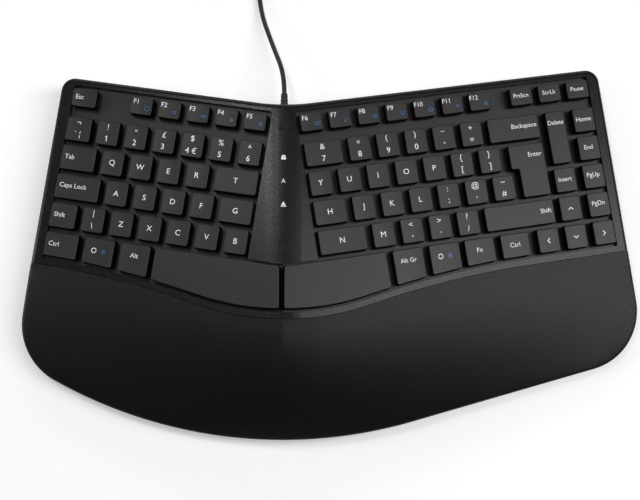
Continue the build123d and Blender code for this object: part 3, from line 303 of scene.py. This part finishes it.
cord_route = [
    Vector((0, 58.24, 22.0)),
    Vector((0, 72.0, 22.0)),
    Vector((-8.0, 94.0, 13.0)),
    Vector((-19.0, 128.0, COIL_LOW)),
    Vector((-19.0, 182.0, COIL_LOW)),
]
cord_route += coil_route(cord_route[-1])
cord_route = [(point + Vector((RIDGE.x, RIDGE.y, 0))) * MM for point in cord_route]
cord_data = bpy.data.curves.new("cable_line", "CURVE")
cord_data.dimensions = "3D"
cord_line = cord_data.splines.new("NURBS")
cord_line.points.add(len(cord_route) - 1)
for point, spot in zip(cord_line.points, cord_route):
    point.co = (*spot, 1)
cord_line.order_u = 3
cord_line.use_endpoint_u = True
cord_line.resolution_u = 6
cord_data.bevel_depth = CORD_RADIUS * MM
cord_data.bevel_resolution = 5
cord_data.materials.append(LOOKS["cord"])
cable = bpy.data.objects.new("cable", cord_data)
bpy.context.scene.collection.objects.link(cable)
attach(cable, "casing")
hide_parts("usb_cable", "usb_cable_coil")


# Legends on the keys
LETTER, DIGIT, WORD, SMALL = 5.1, 5.3, 4.3, 4.1


def glyph_faces(text, size):
    """Flat outline faces of a text, centred, in millimetres."""
    data = bpy.data.curves.new("glyph", "FONT")
    data.body = text
    data.size = size
    data.align_x = "CENTER"
    data.align_y = "CENTER"
    data.resolution_u = 4
    holder = bpy.data.objects.new("glyph", data)
    mesh = bpy.data.meshes.new_from_object(holder)
    spots = [vertex.co.copy() for vertex in mesh.vertices]
    low = min(spot.y for spot in spots)
    high = max(spot.y for spot in spots)
    left = min(spot.x for spot in spots)
    right = max(spot.x for spot in spots)
    middle = Vector(((left + right) / 2, (low + high) / 2, 0))
    faces = [list(face.vertices) for face in mesh.polygons]
    bpy.data.objects.remove(holder)
    bpy.data.meshes.remove(mesh)
    bpy.data.curves.remove(data)
    return [spot - middle for spot in spots], faces


def stroke_faces(lines, width):
    """Thick strokes along lines of points, as flat faces."""
    spots, faces = [], []
    for line in lines:
        for start, end in zip(line, line[1:]):
            start, end = Vector((*start, 0)), Vector((*end, 0))
            along = (end - start).normalized() * width / 2
            aside = Vector((-along.y, along.x, 0))
            first = len(spots)
            spots += [start - along - aside, end + along - aside, end + along + aside, start - along + aside]
            faces.append([first, first + 1, first + 2, first + 3])
    return spots, faces


def circle_line(x, y, radius, steps=16):
    angles = [2 * math.pi * step / steps for step in range(steps + 1)]
    return [(x + radius * math.cos(angle), y + radius * math.sin(angle)) for angle in angles]


# Each icon: its lines of points and their width, in millimetres
ICONS = {
    "ring": ([circle_line(0, 0, 1.5)], 0.5),
    "up": ([[(-1.4, -0.7), (0, 0.7), (1.4, -0.7)]], 0.55),
    "down": ([[(-1.4, 0.7), (0, -0.7), (1.4, 0.7)]], 0.55),
    "back": ([[(0.7, 1.4), (-0.7, 0), (0.7, -1.4)]], 0.55),
    "forward": ([[(-0.7, 1.4), (0.7, 0), (-0.7, -1.4)]], 0.55),
    "lock": ([
        [(-1, -1.3), (1, -1.3), (1, 0), (-1, 0), (-1, -1.3)],
        [(-0.6, 0), (-0.6, 0.9), (0.6, 0.9), (0.6, 0)],
        [(0, -1), (0, -0.3)],
    ], 0.35),
    "play": ([[(-0.8, -1.1), (1.1, 0), (-0.8, 1.1), (-0.8, -1.1)], [(-0.5, -0.3), (0.5, 0)]], 0.4),
    "quiet": ([
        [(-1.2, -0.5), (-0.4, -0.5), (0.5, -1.2), (0.5, 1.2), (-0.4, 0.5), (-1.2, 0.5), (-1.2, -0.5)],
    ], 0.4),
    "louder": ([
        [(-1.4, -0.5), (-0.7, -0.5), (0, -1.1), (0, 1.1), (-0.7, 0.5), (-1.4, 0.5), (-1.4, -0.5)],
        [(0.7, -0.6), (0.9, 0), (0.7, 0.6)],
        [(1.4, -1), (1.7, 0), (1.4, 1)],
    ], 0.35),
    "stop": ([[(-0.9, -0.9), (0.9, -0.9), (0.9, 0.9), (-0.9, 0.9), (-0.9, -0.9)]], 0.4),
    "letter": ([
        [(-1.5, -1), (1.5, -1), (1.5, 1), (-1.5, 1), (-1.5, -1)],
        [(-1.5, 1), (0, -0.2), (1.5, 1)],
    ], 0.35),
    "home": ([[(-1.5, 0), (0, 1.4), (1.5, 0)], [(-1, 0), (-1, -1.2), (1, -1.2), (1, 0)]], 0.45),
    "find": ([circle_line(-0.3, 0.3, 0.9, 12), [(0.4, -0.4), (1.3, -1.3)]], 0.4),
    "lines": ([[(-1.3, 0.8), (1.3, 0.8)], [(-1.3, 0), (1.3, 0)], [(-1.3, -0.8), (1.3, -0.8)]], 0.35),
    "note": ([
        [(-0.7, -1), (-0.7, 1), (0.9, 1.2), (0.9, -0.7)],
        circle_line(-1, -1, 0.3, 8),
        circle_line(0.6, -0.7, 0.3, 8),
    ], 0.35),
    "screen": ([
        [(-1.4, -0.6), (1.4, -0.6), (1.4, 1.1), (-1.4, 1.1), (-1.4, -0.6)],
        [(-0.7, -1.2), (0.7, -1.2)],
    ], 0.35),
    "one": ([[(-0.75, 1.0), (0.1, 1.6), (0.1, -1.6)]], 0.5),
    "full_lock": ([
        [(-1.1, -0.9), (1.1, -0.9)],
        [(-1.1, -0.1), (1.1, -0.1)],
        [(-0.7, 0.3), (-0.7, 1.2), (0.7, 1.2), (0.7, 0.3)],
    ], 0.85),
    "full_arrow": ([
        [(-1.3, -1.2), (1.3, -1.2)],
        [(-0.9, -0.1), (0.9, -0.1)],
        [(-0.4, 0.4), (0.4, 0.4)],
        [(0, 0.4), (0, 1.3)],
    ], 0.75),
}


def node_tree_of(name):
    mesh = nodes[name].data
    spots = [vertex.co for vertex in mesh.vertices]
    return BVHTree.FromPolygons(spots, [list(face.vertices) for face in mesh.polygons])


class Legend:
    """Collects flat print for one node and lays it on the node's top."""

    def __init__(self, name, block):
        self.block = block
        self.surface = node_tree_of(name)
        self.up = (block.to_3x3() @ Vector((0, 0, 1))).normalized()
        self.spots = []
        self.faces = []
        self.blue = []

    def put(self, flat, u, v, blue=False):
        spots, faces = flat
        first = len(self.spots)
        for spot in spots:
            place = self.block @ Vector((u + spot.x, v + spot.y, 0))
            hit = self.surface.ray_cast(place + self.up * RAY_START, -self.up, RAY_REACH)[0]
            self.spots.append((hit or place) + self.up * LEGEND_LIFT * MM)
        self.faces += [[first + index for index in face] for face in faces]
        self.blue += [blue] * len(faces)

    def finish(self, name, body):
        mesh = bpy.data.meshes.new(name)
        mesh.from_pydata(self.spots, [], self.faces)
        mesh.materials.append(legend_white_painted_glow)
        mesh.materials.append(legend_blue_painted_glow)
        for polygon, blue in zip(mesh.polygons, self.blue):
            polygon.material_index = 1 if blue else 0
        piece = bpy.data.objects.new(name, mesh)
        bpy.context.scene.collection.objects.link(piece)
        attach(piece, body)


# Front edge of each row of keys
ROWS = {
    "function": FUNCTION_FRONT,
    "number": 0.0,
    "upper": -ROW_PITCH,
    "home": -2 * ROW_PITCH,
    "lower": -3 * ROW_PITCH,
    "bottom": -4 * ROW_PITCH,
}


def run(first, marks):
    """Keys one pitch wide, side by side, with their marks."""
    return [(first + step, 1.0, mark) for step, mark in enumerate(marks)]


# Each node: row, then start share, width share and marks of each key
LEFT_KEYS = {
    "escape_key": [("function", [(-0.1, 1.1, "start:Esc")])],
    "left_function_keys": [("function", run(2.0, [
        "f:F1:ring", "f:F2:quiet", "f:F3:louder", "f:F4:play", "f:F5:stop",
    ]))],
    "left_number_keys": [("number", [(-0.1, 1.1, "two:¬:` ¦")] + run(1.0, [
        "two:!:1", "two:\":2", "two:£:3", "two:$:4 €", "two:%:5", "two:^:6",
    ]))],
    "tab_key": [("upper", [(-0.1, 1.45, "start:Tab")])],
    "left_upper_letter_keys": [("upper", run(1.35, [
        "one:Q", "one:W", "one:E", "one:R",
    ]) + [(5.35, 1.7, "one:T")])],
    "caps_lock_key": [("home", [(-0.1, 1.78, "start:Caps Lock")])],
    "left_home_letter_keys": [("home", run(1.68, [
        "one:A", "one:S", "one:D", "one:F",
    ]) + [(5.68, 1.36, "one:G")])],
    "left_shift_key": [("lower", [(-0.1, 1.14, "start:Shift")])],
    "left_lower_letter_keys": [("lower", run(1.04, [
        "two:|:\\", "one:Z", "one:X", "one:C", "one:V", "one:B",
    ]))],
    "left_ctrl_key": [("bottom", [(-0.1, 1.38, "start:Ctrl")])],
    "left_system_key": [("bottom", [(1.28, 1.28, "system")])],
    "left_alt_key": [("bottom", [(2.56, 1.26, "word:Alt")])],
}
RIGHT_KEYS = {
    "right_function_keys": [("function", run(0.0, [
        "f:F6:letter", "f:F7:note", "f:F8:lines", "f:F9:screen", "f:F10:home", "f:F11:find", "f:F12:lock",
    ]))],
    "screen_keys": [("function", [
        (7.505, 1.04, "word:PrtScn"), (8.55, 1.04, "word:ScrLk"), (9.6, 1.04, "word:Pause"),
    ])],
    "right_number_keys": [("number", [(0.0, 1.51, "two:&:7")] + run(1.51, [
        "two:*:8", "two:(:9", "two:):0", "two:_:-", "two:+:=",
    ]))],
    "backspace_key": [("number", [(6.508, 2.09, "end:Backspace")])],
    "right_upper_letter_keys": [("upper", run(0.0, [
        "one:Y", "one:U", "one:I", "one:O", "one:P", "two:{:[", "two:}:]",
    ]))],
    "right_home_letter_keys": [("home", [(0.0, 1.335, "one:H")] + run(1.335, [
        "one:J", "one:K", "one:L", "two:..:;", "two:@:'", "two:~:#",
    ]))],
    "right_lower_letter_keys": [("lower", [(0.0, 1.86, "one:N")] + run(1.86, [
        "one:M", "two:<:,", "two:>:.", "two:?:/",
    ]))],
    "right_shift_key": [("lower", [(5.86, 2.74, "end:Shift")])],
    "alt_gr_key": [("bottom", [(2.43, 1.29, "word:Alt Gr")])],
    "right_system_key": [("bottom", [(3.71, 1.3, "system")])],
    "fn_key": [("bottom", [(4.97, 1.28, "word:Fn")])],
    "right_ctrl_key": [("bottom", [(6.265, 1.25, "word:Ctrl")])],
    "left_arrow_key": [("bottom", [(7.6, 1.0, "icon:back")])],
    "down_arrow_key": [("bottom", [(8.62, 1.0, "icon:down")])],
    "right_arrow_key": [("bottom", [(9.66, 1.0, "icon:forward")])],
    "up_arrow_key": [("lower", [(8.6, 1.0, "icon:up")])],
    "navigation_keys": [
        ("number", [(9.66, 1.0, "word:Home")]),
        ("upper", [(9.66, 1.0, "word:End")]),
        ("home", [(8.6, 1.0, "word:Insert"), (9.65, 1.0, "word:PgUp")]),
        ("lower", [(9.65, 1.0, "word:PgDn")]),
    ],
    "delete_key": [("number", [(8.65, 0.92, "word:Delete")])],
    "enter_key": [("upper", [(7.1, 1.5, "end:Enter")])],
}
# A colon parts the words of a mark, so the colon's own legend is written as two dots
DOTS = {"..": ":"}
body_of_node = {
    node: body
    for body, members in frame["record"]["behaviour"]["bodies"].items()
    for node in members
}

# Places of the print on a key, in millimetres, and as shares of its depth
LETTER_SHIFT, LETTER_RISE = 0.3, 0.2
PAIR_SHIFT, PAIR_UPPER_SHARE, PAIR_LOWER_SHARE = 0.4, 0.24, 0.27
WORD_RISE, END_RISE = 0.6, 0.8
START_INSET, END_INSET = 2.3, 1.8
FUNCTION_ASIDE, FUNCTION_DOWN, FUNCTION_ICON_RISE = 3.2, 3.0, 4.4
SYSTEM_ASIDE = 3.2
LONGEST_LARGE_WORD = 4


def mark_key(legend, marks, left, right, front, rear):
    """Print one key's marks between its edges."""
    kind, *words = marks.split(":", 1) if marks.startswith("one") else marks.split(":")
    middle = (left + right) / 2
    depth = rear - front
    centre = (front + rear) / 2
    if kind == "one":
        legend.put(glyph_faces(words[0], LETTER), middle - LETTER_SHIFT, centre + LETTER_RISE)
    elif kind == "two":
        top = DOTS.get(words[0], words[0])
        legend.put(glyph_faces(top, DIGIT), middle - PAIR_SHIFT, rear - PAIR_UPPER_SHARE * depth)
        numeral = stroke_faces(*ICONS["one"]) if words[1] == "1" else glyph_faces(words[1], DIGIT)
        legend.put(numeral, middle - PAIR_SHIFT, front + PAIR_LOWER_SHARE * depth)
    elif kind == "word":
        size = SMALL if len(words[0]) > LONGEST_LARGE_WORD else WORD
        legend.put(glyph_faces(words[0], size), middle - LETTER_SHIFT, centre + WORD_RISE)
    elif kind == "start":
        flat = glyph_faces(words[0], WORD)
        reach = min(spot.x for spot in flat[0])
        legend.put(flat, left + START_INSET - reach, centre + WORD_RISE)
    elif kind == "end":
        flat = glyph_faces(words[0], WORD)
        reach = max(spot.x for spot in flat[0])
        legend.put(flat, right - END_INSET - reach, centre + END_RISE)
    elif kind == "f":
        legend.put(glyph_faces(words[0], WORD), left + FUNCTION_ASIDE, rear - FUNCTION_DOWN)
        icon = stroke_faces(*ICONS[words[1]])
        legend.put(icon, right - FUNCTION_ASIDE, front + FUNCTION_ICON_RISE, blue=True)
    elif kind == "icon":
        legend.put(stroke_faces(*ICONS[words[0]]), middle, centre)
    elif kind == "system":
        legend.put(stroke_faces(*ICONS["ring"]), middle - SYSTEM_ASIDE, centre)
        legend.put(stroke_faces(*ICONS["lock"]), middle + SYSTEM_ASIDE, centre, blue=True)


for side, start, table in (("left", LEFT_START, LEFT_KEYS), ("right", RIGHT_START, RIGHT_KEYS)):
    for name, rows in table.items():
        legend = Legend(name, BLOCKS[side])
        for row, keys in rows:
            depth = FUNCTION_DEPTH if row == "function" else CAP_DEPTH
            for first, width, marks in keys:
                left = start + first * KEY_PITCH
                right = left + width * KEY_PITCH - KEY_GAP
                mark_key(legend, marks, left, right, ROWS[row], ROWS[row] + depth)
        legend.finish("legend_" + name, body_of_node[name])


# Icons beside the three lights on the ridge
LIGHT_PITCH, LIGHT_MIDDLE, LIGHT_ICON_OFFSET = 15.25, -0.5, 5.3
ridge = Legend("top_cover", Matrix.Scale(MM, 4) @ Matrix.Translation(RIDGE))
for step, mark in ((1, "full_lock"), (0, "A"), (-1, "full_arrow")):
    flat = glyph_faces(mark, WORD) if mark == "A" else stroke_faces(*ICONS[mark])
    ridge.put(flat, 0.0, LIGHT_MIDDLE + step * LIGHT_PITCH - LIGHT_ICON_OFFSET)
ridge.finish("legend_indicators", "casing")


# Floor and light
floor_data = bpy.data.meshes.new("floor")
FLOOR_REACH = 4.0
floor_corners = [(FLOOR_REACH * x, FLOOR_REACH * y, 0) for x, y in ((-1, -1), (1, -1), (1, 1), (-1, 1))]
floor_data.from_pydata(floor_corners, [], [[0, 1, 2, 3]])
floor_look, floor_tree, floor_shader = new_material("floor_white")
floor_colour = ramp(floor_tree, object_noise(floor_tree, 3, 2), grey(0.9), grey(0.93))
floor_tree.links.new(floor_colour, floor_shader.inputs["Base Color"])
floor_shader.inputs["Roughness"].default_value = 0.5
floor_shader.inputs["Specular IOR Level"].default_value = 0.3
# The floor shows whiter to the camera away from the object, from one distance to another
NEAR_GLOW, NEAR_REACH, FAR_REACH = 0.3, 0.45, 1.2
floor_place = floor_tree.nodes.new("ShaderNodeTexCoord")
floor_distance = floor_tree.nodes.new("ShaderNodeVectorMath")
floor_distance.operation = "LENGTH"
floor_tree.links.new(floor_place.outputs["Object"], floor_distance.inputs[0])
floor_glow = floor_tree.nodes.new("ShaderNodeMapRange")
floor_glow.inputs["From Min"].default_value = NEAR_REACH
floor_glow.inputs["From Max"].default_value = FAR_REACH
floor_glow.inputs["To Min"].default_value = NEAR_GLOW
floor_glow.inputs["To Max"].default_value = 1.0
floor_tree.links.new(floor_distance.outputs["Value"], floor_glow.inputs["Value"])


def ray_strength(tree, camera_part, glossy_part, rest):
    """Strength by kind of ray: the camera's, a reflection's and any other."""
    seen = tree.nodes.new("ShaderNodeLightPath")
    total = rest
    for kind, part in (("Is Camera Ray", camera_part), ("Is Glossy Ray", glossy_part)):
        step = tree.nodes.new("ShaderNodeMath")
        step.operation = "MULTIPLY_ADD"
        tree.links.new(seen.outputs[kind], step.inputs[0])
        for value, socket in ((part, step.inputs[1]), (total, step.inputs[2])):
            if isinstance(value, float):
                socket.default_value = value
            else:
                tree.links.new(value, socket)
        total = step.outputs["Value"]
    return total


floor_strength = ray_strength(floor_tree, floor_glow.outputs["Result"], NEAR_GLOW, 0.0)
floor_tree.links.new(floor_strength, floor_shader.inputs["Emission Strength"])
floor_shader.inputs["Emission Color"].default_value = (1, 1, 1, 1)
floor_data.materials.append(floor_look)
floor = bpy.data.objects.new("floor", floor_data)
bpy.context.scene.collection.objects.link(floor)


def add_light(name, spot, aim, size, power):
    data = bpy.data.lights.new(name, "AREA")
    data.shape = "RECTANGLE"
    data.size, data.size_y = size
    data.energy = power
    light = bpy.data.objects.new(name, data)
    light.location = spot
    way = Vector(aim) - Vector(spot)
    light.rotation_euler = way.to_track_quat("-Z", "Y").to_euler()
    bpy.context.scene.collection.objects.link(light)


add_light("left_top_softbox", (-0.34, 0.3, 1.2), (-0.06, 0.02, 0), (0.12, 0.3), 2.4)
add_light("right_top_softbox", (0.8, 0.02, 1.15), (0.06, 0.0, 0), (0.4, 1.1), 9.5)
add_light("left_side_softbox", (-1.4, 0.1, 0.6), (-0.05, 0, 0), (0.4, 1.2), 7)
add_light("rear_softbox", (0.0, 1.4, 0.6), (0, 0.02, 0), (1.6, 0.3), 5)

world = bpy.data.worlds.new("studio")
world.use_nodes = True
backdrop = world.node_tree.nodes["Background"]
backdrop.inputs["Color"].default_value = (1, 1, 1, 1)
WORLD_LIGHT, WORLD_GLOSS = 0.1, 0.05
world_strength = ray_strength(world.node_tree, 1.0 - WORLD_LIGHT, WORLD_GLOSS, WORLD_LIGHT)
world.node_tree.links.new(world_strength, backdrop.inputs["Strength"])
bpy.context.scene.world = world
bpy.context.scene.view_settings.view_transform = "Standard"
